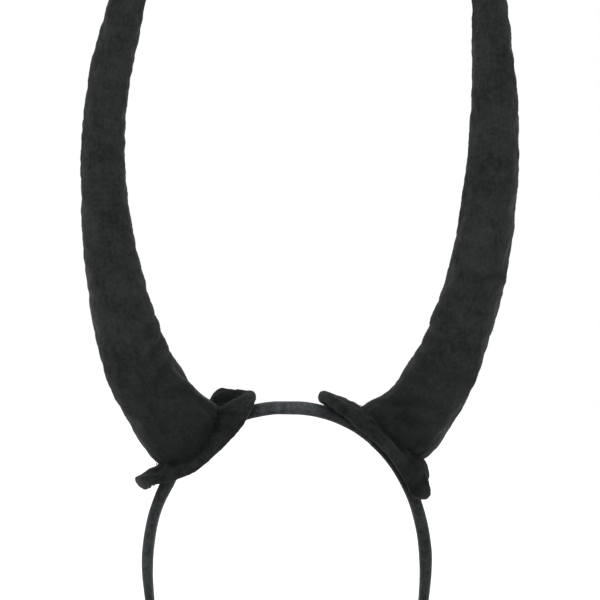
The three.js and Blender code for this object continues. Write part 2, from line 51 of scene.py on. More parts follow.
LEFT_HALF_WIDTH = 64.4
RIGHT_HALF_WIDTH = 63.7
BAND_RISE = 75.0
BAND_DROP = 101.0
BAND_SQUARENESS = 2.13
CROWN_FACET_ANGLE = 3.77
ARM_HINGE_ANGLE = 51.56
ARM_TIP_ANGLE = 123.0
SLEEVE_HALF_DEPTH = 5.4
SLEEVE_WALL = 0.75
SLEEVE_SIDES = 32

# Each arm's sleeve starts a little before the crown's ends and is larger, so the two overlap.
CROWN_SLEEVE_ANGLE = 39.0
ARM_SLEEVE_ANGLE = 37.5
ARM_SLEEVE_GROW = 0.12

# Where along a pad its shape changes: shares of its half length, or millimetres from its middle.
FRONT_DROOP_REACH = (5.0, 36.0)
BACK_RISE_DEPTH = 24.0
OUTER_LIFT_SHARES = (0.58, 1.2)
TIP_SWELL_SHARES = (0.6, 0.95)
CROWN_TAPER_SHARES = (0.2, 1.0)
OUTER_CUT_SHARES = (0.4, 0.8)
OUTER_CUT_DEPTHS = (-16.0, -9.0)
LOBE_REACH_DEPTHS = (10.0, 16.0)

# A dent in a pad dies out at this share of its thickness.
DENT_REACH = 0.66

# The layers in a pad, drawn in from its rim by the insets. The cover's cloth and the foam's top
# are measured down from the cover's face, and the rest up from the pad's underside.
COVER_CLOTH = 1.0
FOAM_TOP = 2.1
FOAM_BASE = 1.5
FOAM_INSET = 3.6
LINING_TOP = 1.15
LINING_BASE = 0.35
LINING_INSET = 3.3
PAD_SECTORS = 96
LAYER_SECTORS = 64

HEM_STITCHES = 64
HEM_STITCH_INSET = 2.5
HEM_THREAD_RADIUS = 0.22
FOOT_STITCHES = 34
FOOT_THREAD_RADIUS = 0.13

# Horns: depth as a share of width, points round, rings along, and the height over which the skin
# leaves its foot. The foot is sunk into the pad. Shade is painted on the horn in full within a
# reach of the pivot, then fades out.
FLATTENING = 0.95
AROUND = 72
SKIN_RINGS = 150
FILL_RINGS = 60
FOOT_RISE = 15.0
FOOT_SINK = 0.7
FILL_INSET = 2.6
SEAM_DEPTH = 0.2
FOOT_SHADE_REACH = 16.0
FOOT_SHADE_FADE = 26.0

# The skin's cloth runs for this many frames and moves no point further than the cap.
CLOTH_FRAMES = 20
CLOTH_CAP = 1.1

# Painted shade on each arm: how dark the pad's painted shadow is under it, how far down that fades,
# how dark the painted shade is lower down, and how far down that builds up.
ARM_PAINTED_SHADE = {
    "left": (0.35, (30.0, 55.0), 0.2, (30.0, 60.0)),
    "right": (0.82, (34.0, 48.0), 0.5, (34.0, 60.0)),
}

# Each pad and horn; "crown" is +1 where the pad's own length axis points to the crown. In a pad's
# own frame u runs along it, v to the back and heights are out from the head. A drop is millimetres
# and power, a front droop is at the outer end, middle and crown end, and a back rise is its height,
# place and spread. A sag is its place, spread and drop. A dent is its place (u, v), its spreads and
# its depth, and a raised roll has a negative depth; a dent also gets painted shade and a roll a
# painted highlight. A painted light spot is its place, its spreads and how much lighter it is
# painted: a positive amount is a painted highlight and a negative one painted shade. A foot is its
# middle and its two half widths, a crease is how deep the line round it is and how much shade is
# painted along it, and foot_shade is how much shade is painted on the horn towards its foot. A spine
# row is X, Z and width across.
LEFT = {
    "name": "left",
    "crown": 1,
    "pad_centre": (-43.4, -11.8),
    "pad_tilt": 35.4,
    "half_length": 36.0,
    "half_depth": 23.5,
    "top": 8.0,
    "peak": 7.0,
    "crown_drop": (8.6, 2.0),
    "outer_drop": (10.0, 2.0),
    "front_droop": (2.0, 17.6, 28.0),
    "front_power": 2.0,
    "back_droop": 8.0,
    "back_rise": (13.4, 22.0, 13.0),
    "outer_lift": 10.0,
    "thickness": 4.3,
    "tip_swell": 0.5,
    "outer_cut": 0.0,
    "lobe_reach": 0.0,
    "bluntness": (2.8, 2.25),
    "crown_taper": 0.24,
    "sags": [(-36.5, 5.0, 0.8), (-28.5, 4.0, -0.8)],
    "dents": [
        (23.0, 5.0, 7.0, 5.0, 2.4),
        (27.0, -7.0, 8.0, 3.4, -1.3),
        (12.0, -13.0, 3.0, 6.0, 0.6),
        (-14.0, -15.0, 2.4, 6.0, 0.6),
        (-22.0, -13.0, 2.6, 8.0, 0.9),
    ],
    "foot": (-2.1, 19.8, 19.0),
    "pivot": (-53.5, -4.3),
    "foot_shade": 0.38,
    "crease": 0.5,
    "painted_light_spots": [(31.0, -11.0, 5.0, 5.0, 0.9), (-34.0, -12.0, 6.0, 12.0, 0.8)],
    "skin_inset": 0.1,
    "seed": 3.0,
    "spine": [
        (-53.0, -5.2, 37.2),
        (-57.0, -0.8, 36.4),
        (-63.3, 9.6, 35.0),
        (-70.7, 22.8, 33.6),
        (-77.2, 41.7, 31.1),
        (-82.6, 64.7, 28.0),
        (-87.0, 97.0, 23.2),
        (-88.3, 127.0, 20.9),
        (-85.7, 157.7, 20.5),
        (-78.6, 190.6, 18.8),
        (-69.6, 225.0, 15.0),
        (-61.6, 255.0, 10.2),
        (-54.6, 281.0, 4.6),
    ],
}
RIGHT = {
    "name": "right",
    "crown": -1,
    "pad_centre": (42.5, -14.6),
    "pad_tilt": -42.6,
    "half_length": 36.8,
    "half_depth": 23.5,
    "top": 11.0,
    "peak": 0.0,
    "crown_drop": (9.6, 1.8),
    "outer_drop": (8.5, 5.0),
    "front_droop": (22.0, 8.3, 8.3),
    "front_power": 3.8,
    "back_droop": 10.0,
    "back_rise": (7.0, -27.0, 9.0),
    "outer_lift": 0.0,
    "thickness": 4.8,
    "tip_swell": 0.2,
    "outer_cut": 0.16,
    "lobe_reach": 0.03,
    "bluntness": (3.0, 2.3),
    "crown_taper": 0.0,
    "sags": [(30.0, 4.5, 3.0), (42.0, 5.5, -13.5)],
    "dents": [
        (26.0, -4.0, 2.6, 5.5, 2.6),
        (30.0, -5.0, 1.8, 6.0, -0.6),
        (31.5, -16.0, 2.4, 6.0, -0.8),
        (26.5, -17.0, 1.8, 6.0, 1.0),
        (16.0, -15.0, 2.2, 9.0, 0.8),
        (8.0, -16.0, 2.4, 9.0, 0.6),
        (-4.0, -15.0, 2.8, 8.0, 0.7),
        (-23.0, -20.0, 2.0, 6.0, 1.5),
        (-27.0, -20.0, 2.4, 6.0, -0.5),
        (5.0, -18.0, 9.0, 1.3, 0.9),
        (8.0, -20.8, 10.0, 1.1, -0.7),
        (-25.5, 6.0, 6.0, 10.0, -1.0),
    ],
    "foot": (1.8, 19.4, 16.6),
    "pivot": (54.4, -5.0),
    "foot_shade": 0.46,
    "crease": 0.16,
    "painted_light_spots": [(-33.0, -10.0, 6.0, 12.0, 0.3), (18.0, -16.0, 10.0, 10.0, -0.3)],
    "skin_inset": -0.25,
    "seed": 11.0,
    "spine": [
        (56.3, -6.9, 33.8),
        (62.8, 0.8, 33.8),
        (70.1, 12.5, 32.9),
        (76.7, 24.8, 31.3),
        (82.3, 38.6, 29.6),
        (91.4, 68.6, 27.7),
        (97.1, 103.7, 26.2),
        (99.4, 142.1, 23.0),
        (98.1, 181.2, 18.6),
        (95.6, 217.0, 14.4),
        (92.2, 250.0, 10.0),
        (88.4, 281.0, 4.6),
    ],
}


def smooth(low, high, value):
    t = min(1.0, max(0.0, (value - low) / (high - low)))
    return t * t * (3.0 - 2.0 * t)


def bell(distance, spread):
    return math.exp(-(distance / spread) ** 2)


def spot(u, v, place):
    """1 at a place (u, v) on a pad, falling away by its two spreads."""
    at_u, at_v, spread_u, spread_v = place
    return math.exp(-((u - at_u) / spread_u) ** 2 - ((v - at_v) / spread_v) ** 2)


# ------------------------------------------------------------------ meshes

def new_mesh(name, points_mm, faces, uvs=None):
    """A smooth mesh object from points in millimetres; uvs is one pair per face corner."""
    mesh = bpy.data.meshes.new(name)
    mesh.from_pydata([tuple(c * MM for c in p) for p in points_mm], [], faces)
    if uvs is not None:
        layer = mesh.uv_layers.new(name="UVMap")
        layer.data.foreach_set("uv", np.array(uvs, np.float32).ravel())
    mesh.update()
    mesh.polygons.foreach_set("use_smooth", [True] * len(mesh.polygons))
    obj = bpy.data.objects.new(name, mesh)
    bpy.context.scene.collection.objects.link(obj)
    return obj


def apply_modifiers(obj):
    depsgraph = bpy.context.evaluated_depsgraph_get()
    baked = bpy.data.meshes.new_from_object(obj.evaluated_get(depsgraph), depsgraph=depsgraph)
    old = obj.data
    obj.modifiers.clear()
    obj.data = baked
    bpy.data.meshes.remove(old)
    return obj


def subdivide(obj, levels=1):
    modifier = obj.modifiers.new("smooth", "SUBSURF")
    modifier.levels = levels
    modifier.render_levels = levels
    return apply_modifiers(obj)


def roughen_nap(obj, amount, seed=0.0):
    """The pile's unevenness: vertices move in and out by a fraction of a millimetre."""
    mesh = obj.data
    normals = [v.normal.copy() for v in mesh.vertices]
    for vertex, normal in zip(mesh.vertices, normals):
        p = vertex.co / MM
        push = noise.noise(p * 0.9 + Vector((seed, 0.0, 0.0))) + 0.6 * noise.noise(p * 0.37)
        vertex.co += normal * (push * amount * MM)
    mesh.update()
    return obj


def skin_rings(name, rings, closed_loop=False, first_pole=None, last_pole=None, lengths=None):
    """A mesh through rings of equal count. UV: u once round the ring, v along in decimetres."""
    count = len(rings[0])
    points = [p for ring in rings for p in ring]
    if lengths is None:
        middles = [np.mean(np.array(ring), axis=0) for ring in rings]
        steps = [0.0] + [float(np.linalg.norm(b - a)) for a, b in zip(middles, middles[1:])]
        lengths = list(np.cumsum(steps))
    faces, uvs = [], []
    last = len(rings) if closed_loop else len(rings) - 1
    for r in range(last):
        nxt = (r + 1) % len(rings)
        for i in range(count):
            j = (i + 1) % count
            faces.append((r * count + i, r * count + j, nxt * count + j, nxt * count + i))
            v0, v1 = lengths[r] / 100.0, lengths[nxt] / 100.0
            uvs += [(i / count, v0), ((i + 1) / count, v0), ((i + 1) / count, v1), (i / count, v1)]
    for pole, ring, flip in ((first_pole, 0, True), (last_pole, len(rings) - 1, False)):
        if pole is None:
            continue
        points.append(pole)
        tip = len(points) - 1
        v = lengths[ring] / 100.0
        for i in range(count):
            j = (i + 1) % count
            a, b = ring * count + i, ring * count + j
            faces.append((b, a, tip) if flip else (a, b, tip))
            uvs += [((i + 1) / count, v), (i / count, v), ((i + 0.5) / count, v)] if flip else \
                [(i / count, v), ((i + 1) / count, v), ((i + 0.5) / count, v)]
    obj = new_mesh(name, points, faces, uvs)
    volume = 0.0
    for polygon in obj.data.polygons:
        volume += polygon.center.dot(polygon.normal) * polygon.area
    if volume < 0:
        obj.data.flip_normals()
    return obj


def tube_pieces(name, paths, radius, sides=6):
    """Many short round threads as one mesh; each path is a list of points in millimetres."""
    points, faces = [], []
    for path in paths:
        line = [Vector(p) for p in path]
        start = len(points)
        for k, p in enumerate(line):
            along = (line[min(k + 1, len(line) - 1)] - line[max(k - 1, 0)]).normalized()
            side = along.orthogonal().normalized()
            up = along.cross(side)
            fade = 0.45 if k in (0, len(line) - 1) else 1.0
            for s in range(sides):
                turn = 2.0 * math.pi * s / sides
                points.append(tuple(p + (side * math.cos(turn) + up * math.sin(turn)) * radius * fade))
        for k in range(len(line) - 1):
            for s in range(sides):
                t = (s + 1) % sides
                a, b = start + k * sides, start + (k + 1) * sides
                faces.append((a + s, a + t, b + t, b + s))
        faces.append(tuple(start + s for s in reversed(range(sides))))
        faces.append(tuple(start + (len(line) - 1) * sides + s for s in range(sides)))
    return new_mesh(name, points, faces)


# ------------------------------------------------------------------ materials

def node_material(name):
    material = bpy.data.materials.new(name)
    material.use_nodes = True
    tree = material.node_tree
    tree.nodes.clear()
    shader = tree.nodes.new("ShaderNodeBsdfPrincipled")
    output = tree.nodes.new("ShaderNodeOutputMaterial")
    tree.links.new(shader.outputs["BSDF"], output.inputs["Surface"])
    return material, tree, shader


def noise_node(tree, vector, scale, detail=3.0, roughness=0.55):
    node = tree.nodes.new("ShaderNodeTexNoise")
    node.inputs["Scale"].default_value = scale
    node.inputs["Detail"].default_value = detail
    node.inputs["Roughness"].default_value = roughness
    tree.links.new(vector, node.inputs["Vector"])
    return node.outputs["Fac"]


def stretched(tree, vector, scale):
    node = tree.nodes.new("ShaderNodeMapping")
    node.inputs["Scale"].default_value = scale
    tree.links.new(vector, node.inputs["Vector"])
    return node.outputs["Vector"]


def ramp(tree, value, stops):
    node = tree.nodes.new("ShaderNodeValToRGB")
    while len(node.color_ramp.elements) < len(stops):
        node.color_ramp.elements.new(0.5)
    for element, (place, colour) in zip(node.color_ramp.elements, stops):
        element.position = place
        element.color = (*colour, 1.0)
    tree.links.new(value, node.inputs["Fac"])
    return node.outputs["Color"]


def mix(tree, kind, factor, a, b):
    node = tree.nodes.new("ShaderNodeMix")
    node.data_type = "RGBA"
    node.blend_type = kind
    node.inputs["Factor"].default_value = factor
    tree.links.new(a, node.inputs[6])
    tree.links.new(b, node.inputs[7])
    return node.outputs[2]


def math_node(tree, operation, a, b):
    node = tree.nodes.new("ShaderNodeMath")
    node.operation = operation
    for socket, value in zip(node.inputs, (a, b)):
        if isinstance(value, float):
            socket.default_value = value
        else:
            tree.links.new(value, socket)
    return node.outputs[0]


def bump(tree, shader, height, strength, distance):
    node = tree.nodes.new("ShaderNodeBump")
    node.inputs["Strength"].default_value = strength
    node.inputs["Distance"].default_value = distance
    tree.links.new(height, node.inputs["Height"])
    tree.links.new(node.outputs["Normal"], shader.inputs["Normal"])


def with_painted_shading(tree, colour):
    """Painted shade: the colour loses a share kept on the mesh, and a negative share paints a highlight."""
    painted_shading = tree.nodes.new("ShaderNodeAttribute")
    painted_shading.attribute_name = "painted_shading"
    left = math_node(tree, "SUBTRACT", 1.0, painted_shading.outputs["Fac"])
    return mix(tree, "MULTIPLY", 1.0, colour, left)


def store_painted_shading(obj, shares):
    """Keeps on the mesh how much shade is painted at each vertex; a negative share is a painted highlight.
    """
    layer = obj.data.attributes.new("painted_shading", "FLOAT", "POINT")
    layer.data.foreach_set("value", shares)


def set_painted_shading(obj, share_at):
    """Stores painted shade from share_at, which takes a point in millimetres and the way the cloth faces
    there.
    """
    store_painted_shading(obj, [share_at(vertex.co / MM, vertex.normal) for vertex in obj.data.vertices])


def shaded_in_folds(tree, colour):
    """Painted shade in folds: cloth is darker wherever it is close to other cloth."""
    near = tree.nodes.new("ShaderNodeAmbientOcclusion")
    near.samples = 6
    near.inputs["Distance"].default_value = 0.014
    depth = ramp(tree, near.outputs["AO"], [(0.15, (0.5, 0.5, 0.5)), (0.5, (0.7, 0.7, 0.7)),
                                            (0.8, (1.0, 1.0, 1.0))])
    return mix(tree, "MULTIPLY", 1.0, colour, depth)


def pile_cloth(name, dark, light, sheen, streak=0.5, pile_scale=1500.0, bump_distance=0.0006,
               gloss=0.12):
    """Napped cloth: soft blotches where the pile is pushed over, fine streaks along the cut, and fibres."""
    material, tree, shader = node_material(name)
    coords = tree.nodes.new("ShaderNodeTexCoord")
    place = coords.outputs["Object"]
    blotch = noise_node(tree, place, 42.0, 4.0, 0.62)
    mottle = noise_node(tree, place, 190.0, 3.0, 0.6)
    fibre = noise_node(tree, place, pile_scale, 2.0, 0.5)
    streaks = noise_node(tree, stretched(tree, coords.outputs["UV"], (90.0, 5.0, 1.0)), 1.0, 3.0, 0.6)
    grain = noise_node(tree, place, 620.0, 2.0, 0.6)
    mixed = math_node(tree, "ADD", math_node(tree, "MULTIPLY", blotch, 0.34),
                      math_node(tree, "MULTIPLY", mottle, 0.22))
    mixed = math_node(tree, "ADD", mixed, math_node(tree, "MULTIPLY", streaks, 0.16 * streak))
    mixed = math_node(tree, "ADD", mixed, math_node(tree, "MULTIPLY", grain, 0.44 - 0.16 * streak))
    middle = tuple((d + l) / 2.0 for d, l in zip(dark, light))
    colour = ramp(tree, mixed, [(0.4, dark), (0.5, middle), (0.61, light)])
    # The cloth's colour takes the painted shade and highlights kept on the mesh, then painted shade in its
    # folds.
    tree.links.new(shaded_in_folds(tree, with_painted_shading(tree, colour)), shader.inputs["Base Color"])
    worn = math_node(tree, "MULTIPLY_ADD", blotch, 0.12)
    worn.node.inputs[2].default_value = 0.84
    tree.links.new(worn, shader.inputs["Roughness"])
    shader.inputs["Specular IOR Level"].default_value = gloss
    shader.inputs["Sheen Weight"].default_value = sheen
    shader.inputs["Sheen Roughness"].default_value = 0.45
    shader.inputs["Sheen Tint"].default_value = (0.80, 0.86, 0.85, 1.0)
    height = math_node(tree, "ADD", math_node(tree, "MULTIPLY", fibre, 0.7),
                       math_node(tree, "MULTIPLY", streaks, 0.5 * streak))
    height = math_node(tree, "ADD", height, math_node(tree, "MULTIPLY", mottle, 0.5))
    bump(tree, shader, height, 0.55, bump_distance)
    return material


def thread_material(name, colour):
    material, tree, shader = node_material(name)
    coords = tree.nodes.new("ShaderNodeTexCoord")
    twist = noise_node(tree, coords.outputs["Object"], 2600.0, 2.0, 0.5)
    shade = tuple(c * 0.6 for c in colour)
    tree.links.new(ramp(tree, twist, [(0.4, shade), (0.6, colour)]), shader.inputs["Base Color"])
    shader.inputs["Roughness"].default_value = 0.75
    shader.inputs["Specular IOR Level"].default_value = 0.2
    bump(tree, shader, twist, 0.4, 0.0002)
    return material


def fibre_fill(name):
    """White polyester fill: tangled strands, with painted shade in soft grey hollows."""
    material, tree, shader = node_material(name)
    coords = tree.nodes.new("ShaderNodeTexCoord")
    tufts = noise_node(tree, coords.outputs["Object"], 160.0, 5.0, 0.7)
    strands = noise_node(tree, stretched(tree, coords.outputs["Object"], (1.0, 1.0, 0.25)), 900.0, 3.0, 0.6)
    value = math_node(tree, "ADD", math_node(tree, "MULTIPLY", tufts, 0.6),
                      math_node(tree, "MULTIPLY", strands, 0.4))
    colour = ramp(tree, value, [(0.35, (0.45, 0.44, 0.41)), (0.65, (0.8, 0.79, 0.76))])
    tree.links.new(colour, shader.inputs["Base Color"])
    shader.inputs["Roughness"].default_value = 0.95
    bump(tree, shader, value, 0.8, 0.001)
    return material


def foam_material(name):
    material, tree, shader = node_material(name)
    coords = tree.nodes.new("ShaderNodeTexCoord")
    cells = tree.nodes.new("ShaderNodeTexVoronoi")
    cells.inputs["Scale"].default_value = 1400.0
    tree.links.new(coords.outputs["Object"], cells.inputs["Vector"])
    tone = noise_node(tree, coords.outputs["Object"], 120.0, 3.0, 0.5)
    colour = ramp(tree, tone, [(0.35, (0.03, 0.03, 0.032)), (0.65, (0.055, 0.055, 0.058))])
    tree.links.new(colour, shader.inputs["Base Color"])
    shader.inputs["Roughness"].default_value = 0.9
    bump(tree, shader, cells.outputs["Distance"], 0.6, 0.0004)
    return material


def moulded_plastic(name):
    material, tree, shader = node_material(name)
    coords = tree.nodes.new("ShaderNodeTexCoord")
    grain = noise_node(tree, coords.outputs["Object"], 1100.0, 2.0, 0.5)
    tone = noise_node(tree, coords.outputs["Object"], 60.0, 3.0, 0.5)
    colour = ramp(tree, tone, [(0.35, (0.008, 0.008, 0.009)), (0.65, (0.016, 0.016, 0.017))])
    tree.links.new(colour, shader.inputs["Base Color"])
    shader.inputs["Roughness"].default_value = 0.42
    bump(tree, shader, grain, 0.3, 0.0001)
    return material


def soft_wire(name):
    material, tree, shader = node_material(name)
    coords = tree.nodes.new("ShaderNodeTexCoord")
    drawn = noise_node(tree, stretched(tree, coords.outputs["Object"], (1.0, 1.0, 0.05)), 2000.0, 2.0, 0.5)
    colour = ramp(tree, drawn, [(0.35, (0.42, 0.43, 0.44)), (0.65, (0.58, 0.59, 0.60))])
    tree.links.new(colour, shader.inputs["Base Color"])
    shader.inputs["Metallic"].default_value = 1.0
    shader.inputs["Roughness"].default_value = 0.38
    bump(tree, shader, drawn, 0.3, 0.0001)
    return material


VELVET = pile_cloth("velvet", (0.0052, 0.0064, 0.0060), (0.0195, 0.0222, 0.0212), 0.08, streak=1.0)
# The pads' velvet is the horns' velvet painted darker: painted shade on the pads round the horns' feet.
SHADED_PAD_VELVET = pile_cloth("shaded_pad_velvet", (0.0040, 0.0048, 0.0046), (0.0150, 0.0168, 0.0162), 0.045,
                        streak=1.0, gloss=0.08)
VELOUR = pile_cloth("velour", (0.013, 0.0147, 0.0155), (0.044, 0.049, 0.0512), 0.14, streak=0.4,
                    pile_scale=2200.0, bump_distance=0.0003)
FELT = pile_cloth("lining", (0.005, 0.0054, 0.0054), (0.013, 0.0135, 0.0135), 0.05, streak=0.2)
THREAD = thread_material("thread", (0.008, 0.009, 0.0085))
FOAM = foam_material("foam")
FILL = fibre_fill("stuffing")
PLASTIC = moulded_plastic("core_plastic")
WIRE = soft_wire("wire")


def dress(obj, material):
    obj.data.materials.clear()
    obj.data.materials.append(material)
    return obj


# ------------------------------------------------------------------ headband

SQUARING = 2.0 / BAND_SQUARENESS
ARCH_RISE = BAND_RISE / math.cos(math.radians(CROWN_FACET_ANGLE)) ** SQUARING


def band_point(angle):
    turn = math.radians(abs(angle))
    reach = -LEFT_HALF_WIDTH if angle < 0 else RIGHT_HALF_WIDTH
    if abs(angle) <= 90.0:
        across = math.sin(turn) ** SQUARING
        up = ARCH_RISE * max(0.0, math.cos(turn)) ** SQUARING
    else:
        across, up = math.sin(turn), BAND_DROP * math.cos(turn)
    height = up - BAND_RISE
    if abs(angle) < CROWN_FACET_ANGLE:
        height = 0.0
    return np.array([reach * across, 0.0, height])


def band_outward(angle):
    along = band_point(angle + 1.2) - band_point(angle - 1.2)
    along /= np.linalg.norm(along)
    return np.array([-along[2], 0.0, along[0]])


def sleeve_section(thickness, half_depth):
    """Soft-cornered section, flatter inside than out: (outward, depth) pairs round the middle."""
    section = []
    for i in range(SLEEVE_SIDES):
        turn = 2.0 * math.pi * i / SLEEVE_SIDES
        c, s = math.cos(turn), math.sin(turn)
        power = 2.0 / (2.1 if c > 0 else 3.2)
        out = math.copysign(abs(c) ** power, c) * thickness / 2.0
        deep = math.copysign(abs(s) ** (2.0 / 2.6), s) * half_depth
        section.append((thickness / 2.0 + out, deep))
    return section


def band_ring(angle, section, lift, seed, wander=0.12):
    foot, outward = band_point(angle), band_outward(angle)
    ring = []
    for out, deep in section:
        p = foot + outward * (out + lift) + np.array([0.0, deep, 0.0])
        n = noise.noise(Vector((p[0] * 0.11 + seed, p[1] * 0.11, p[2] * 0.11)))
        fine = noise.noise(Vector((p[0] * 0.5, p[1] * 0.5 + seed, p[2] * 0.5)))
        push = wander * (n + 0.5 * fine)
        ring.append(tuple(p + outward * push + np.array([0.0, push * math.copysign(0.6, deep), 0.0])))
    return ring


def inner_fullness(angle):
    """The left arm's sleeve is bunched on its inner side where it comes out from under its pad."""
    return 0.9 * bell(angle + 58.0, 6.5)


def sleeve_piece(name, start, end, seed, grow=0.0):
    """The hollow sleeve between two angles of the band, with a ring at about each degree."""
    count = int(abs(end - start))
    rings, inner = [], []
    for k in range(count + 1):
        angle = start + (end - start) * k / count
        t = band_thickness(angle) + 2.0 * grow
        full = inner_fullness(angle)
        section = sleeve_section(t + full, SLEEVE_HALF_DEPTH + grow)
        rings.append(band_ring(angle, section, -grow - full, seed))
        bore = sleeve_section(t - 2.0 * SLEEVE_WALL, SLEEVE_HALF_DEPTH - SLEEVE_WALL + grow)
        inner.append(band_ring(angle, bore, SLEEVE_WALL - grow, seed, 0.0))
    return skin_rings(name, rings + inner[::-1], closed_loop=True)


def band_thickness(angle):
    """The sleeve is full over the crown, pressed flat under the pads, and slims down each arm."""
    turn, arm = abs(angle), 5.4 if angle < 0 else 6.0
    return (5.6 + 0.8 * (1.0 - smooth(14.0, 24.0, turn)) + (arm - 5.6) * smooth(50.0, 64.0, turn)
            - 1.4 * smooth(84.0, 102.0, turn))


def crown_painted_shading(point, normal):
    """Painted light and shade on the crown's sleeve: a painted highlight on its upper side, painted
    shade on its lower side, and painted shadow beside each pad."""
    beside_pad = smooth(13.0, 17.0, abs(point[0]))
    return 0.38 * beside_pad - (0.5 - 0.2 * beside_pad) * normal[2]


def arm_painted_shading(name, point):
    """Painted shadow where the pad hangs over the arm, and painted shade again lower down."""
    under_pad, fading, lower_down, building = ARM_PAINTED_SHADE[name]
    down = -point[2]
    return under_pad * (1.0 - smooth(*fading, down)) + lower_down * smooth(*building, down)


def build_headband():
    crown = sleeve_piece("crown_sleeve", -CROWN_SLEEVE_ANGLE, CROWN_SLEEVE_ANGLE, 1.0)
    set_painted_shading(crown, crown_painted_shading)
    dress(crown, VELOUR)
    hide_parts("band_sleeve_crown")
    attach(crown, "crown")
    for name, side in (("left", -1.0), ("right", 1.0)):
        arm = sleeve_piece(f"{name}_arm_sleeve", side * ARM_SLEEVE_ANGLE, side * (ARM_TIP_ANGLE - 1.5),
                           5.0 + side, grow=ARM_SLEEVE_GROW)
        set_painted_shading(arm, lambda point, _: arm_painted_shading(name, point))
        dress(arm, VELOUR)
        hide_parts(f"band_sleeve_{name}_arm")
        outward = band_outward(side * ARM_HINGE_ANGLE)
        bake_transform(arm)
        build_end_cap(name, side)


def build_end_cap(name, side):
    """The sleeve's end folded up over the tip and glued: a soft cup with a lip."""
    rings = []
    tip_thickness = band_thickness(side * ARM_TIP_ANGLE)
    for past_tip, grow in ((-6.0, 0.35), (-6.2, 0.8), (-5.0, 1.05), (-3.0, 1.0), (-0.6, 0.95),
                           (0.5, 0.6), (1.2, -0.4), (1.45, -1.5)):
        section = sleeve_section(tip_thickness + 2.0 * grow, SLEEVE_HALF_DEPTH + grow)
        rings.append(band_ring(side * (ARM_TIP_ANGLE + past_tip), section, -grow, 9.0 + side, 0.15))
    inner = []
    section = sleeve_section(tip_thickness + 0.5, SLEEVE_HALF_DEPTH + 0.25)
    for past_tip in (-5.9, -0.9):
        inner.append(band_ring(side * (ARM_TIP_ANGLE + past_tip), section, -0.25, 9.0 + side, 0.0))
    rings = inner[::-1] + rings
    first = tuple(np.mean(np.array(rings[0]), axis=0))
    last = tuple(np.mean(np.array(rings[-1]), axis=0))
    cap = skin_rings(f"{name}_tip_fold", rings, first_pole=first, last_pole=last)
    subdivide(cap)
    dress(cap, VELOUR)
    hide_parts(f"{name}_end_cap")
    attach(cap, f"{name}_arm")


# ------------------------------------------------------------------ pads

def pad_axes(side):
    tilt = math.radians(side["pad_tilt"])
    centre = np.array([side["pad_centre"][0], 0.0, side["pad_centre"][1]])
    along = np.array([math.cos(tilt), 0.0, math.sin(tilt)])
    out = np.array([-math.sin(tilt), 0.0, math.cos(tilt)])
    return centre, along, out


def pad_height(side, u, v):
    """Height of the cover above the pad's chord: it sags to its ends, droops to the front and back,
    and one stretch of its back rim stands up."""
    toward_crown = side["crown"] * u
    crown_share = max(0.0, toward_crown - side["peak"]) / side["half_length"]
    outer_share = max(0.0, side["peak"] - toward_crown) / side["half_length"]
    height = side["top"] - sum(drop * bell(u - at_u, spread) for at_u, spread, drop in side["sags"])
    for share, (drop, power) in ((crown_share, side["crown_drop"]), (outer_share, side["outer_drop"])):
        height -= drop * share ** power
    if v < 0:
        at_outer, at_middle, at_crown = side["front_droop"]
        droop = (at_middle + (at_crown - at_middle) * smooth(*FRONT_DROOP_REACH, toward_crown)
                 + (at_outer - at_middle) * smooth(*FRONT_DROOP_REACH, -toward_crown))
        height -= droop * (-v / side["half_depth"]) ** side["front_power"]
    else:
        rise, place, spread = side["back_rise"]
        height += rise * bell(toward_crown - place, spread) * smooth(0.0, BACK_RISE_DEPTH, v)
        height -= side["back_droop"] * (v / side["half_depth"]) ** 2
    return height + side["outer_lift"] * smooth(*OUTER_LIFT_SHARES, -toward_crown / side["half_length"])


def pad_point(side, u, v, offset):
    """The point at (u, v) on the pad, moved out square to the cover by an offset."""
    centre, along, out = pad_axes(side)
    step = 0.05
    slope_u = (pad_height(side, u + step, v) - pad_height(side, u - step, v)) / (2 * step)
    slope_v = (pad_height(side, u, v + step) - pad_height(side, u, v - step)) / (2 * step)
    normal = np.array([-slope_u, -slope_v, 1.0])
    outer_share = -side["crown"] * u / side["half_length"]
    fuller = 1.0 + side["tip_swell"] * smooth(*TIP_SWELL_SHARES, outer_share)
    normal *= offset * fuller / np.linalg.norm(normal)
    return (centre + along * (u + normal[0]) + out * (pad_height(side, u, v) + normal[2])
            + np.array([0.0, v + normal[1], 0.0]))


def pad_wrinkle(side, u, v, edge):
    """Soft unevenness of the cover: lumps all over and short folds near the rim."""
    seed = side["seed"]
    lumps = noise.noise(Vector((u * 0.07 + seed, v * 0.07, 0.0))) * 0.9
    folds = noise.noise(Vector((u * 0.24 + seed, v * 0.24, 4.0))) * 0.55
    nap = noise.noise(Vector((u * 0.8 + seed, v * 0.8, 8.0))) * 0.14
    return (lumps + folds + nap) * (0.45 + 0.55 * edge)


def pad_dents(side, u, v):
    """Hollows pressed into the cover, and the rolls of velvet that stand up beside them."""
    return -sum(depth * spot(u, v, place) for *place, depth in side["dents"])


def round_foot(side, u, v):
    """Place round the horn's foot: the distance from its middle, 1 on the crease, and the turn."""
    middle, half_u, half_v = side["foot"]
    across, deep = (u - middle) / half_u, v / half_v
    return math.hypot(across, deep), math.atan2(deep, across)


def foot_gather(side, u, v):
    """The velvet drawn down into the crease round the horn's foot, with short pleats fanning out."""
    from_foot, turn = round_foot(side, u, v)
    crease = -1.2 * side["crease"] * bell(from_foot - 1.0, 0.15)
    outside = max(0.0, from_foot - 1.0)
    pleats = math.sin(17.0 * turn + 2.2 * math.sin(2.0 * turn + side["seed"]))
    return crease + 0.42 * pleats * bell(outside - 0.18, 0.16) * smooth(0.9, 1.05, from_foot)


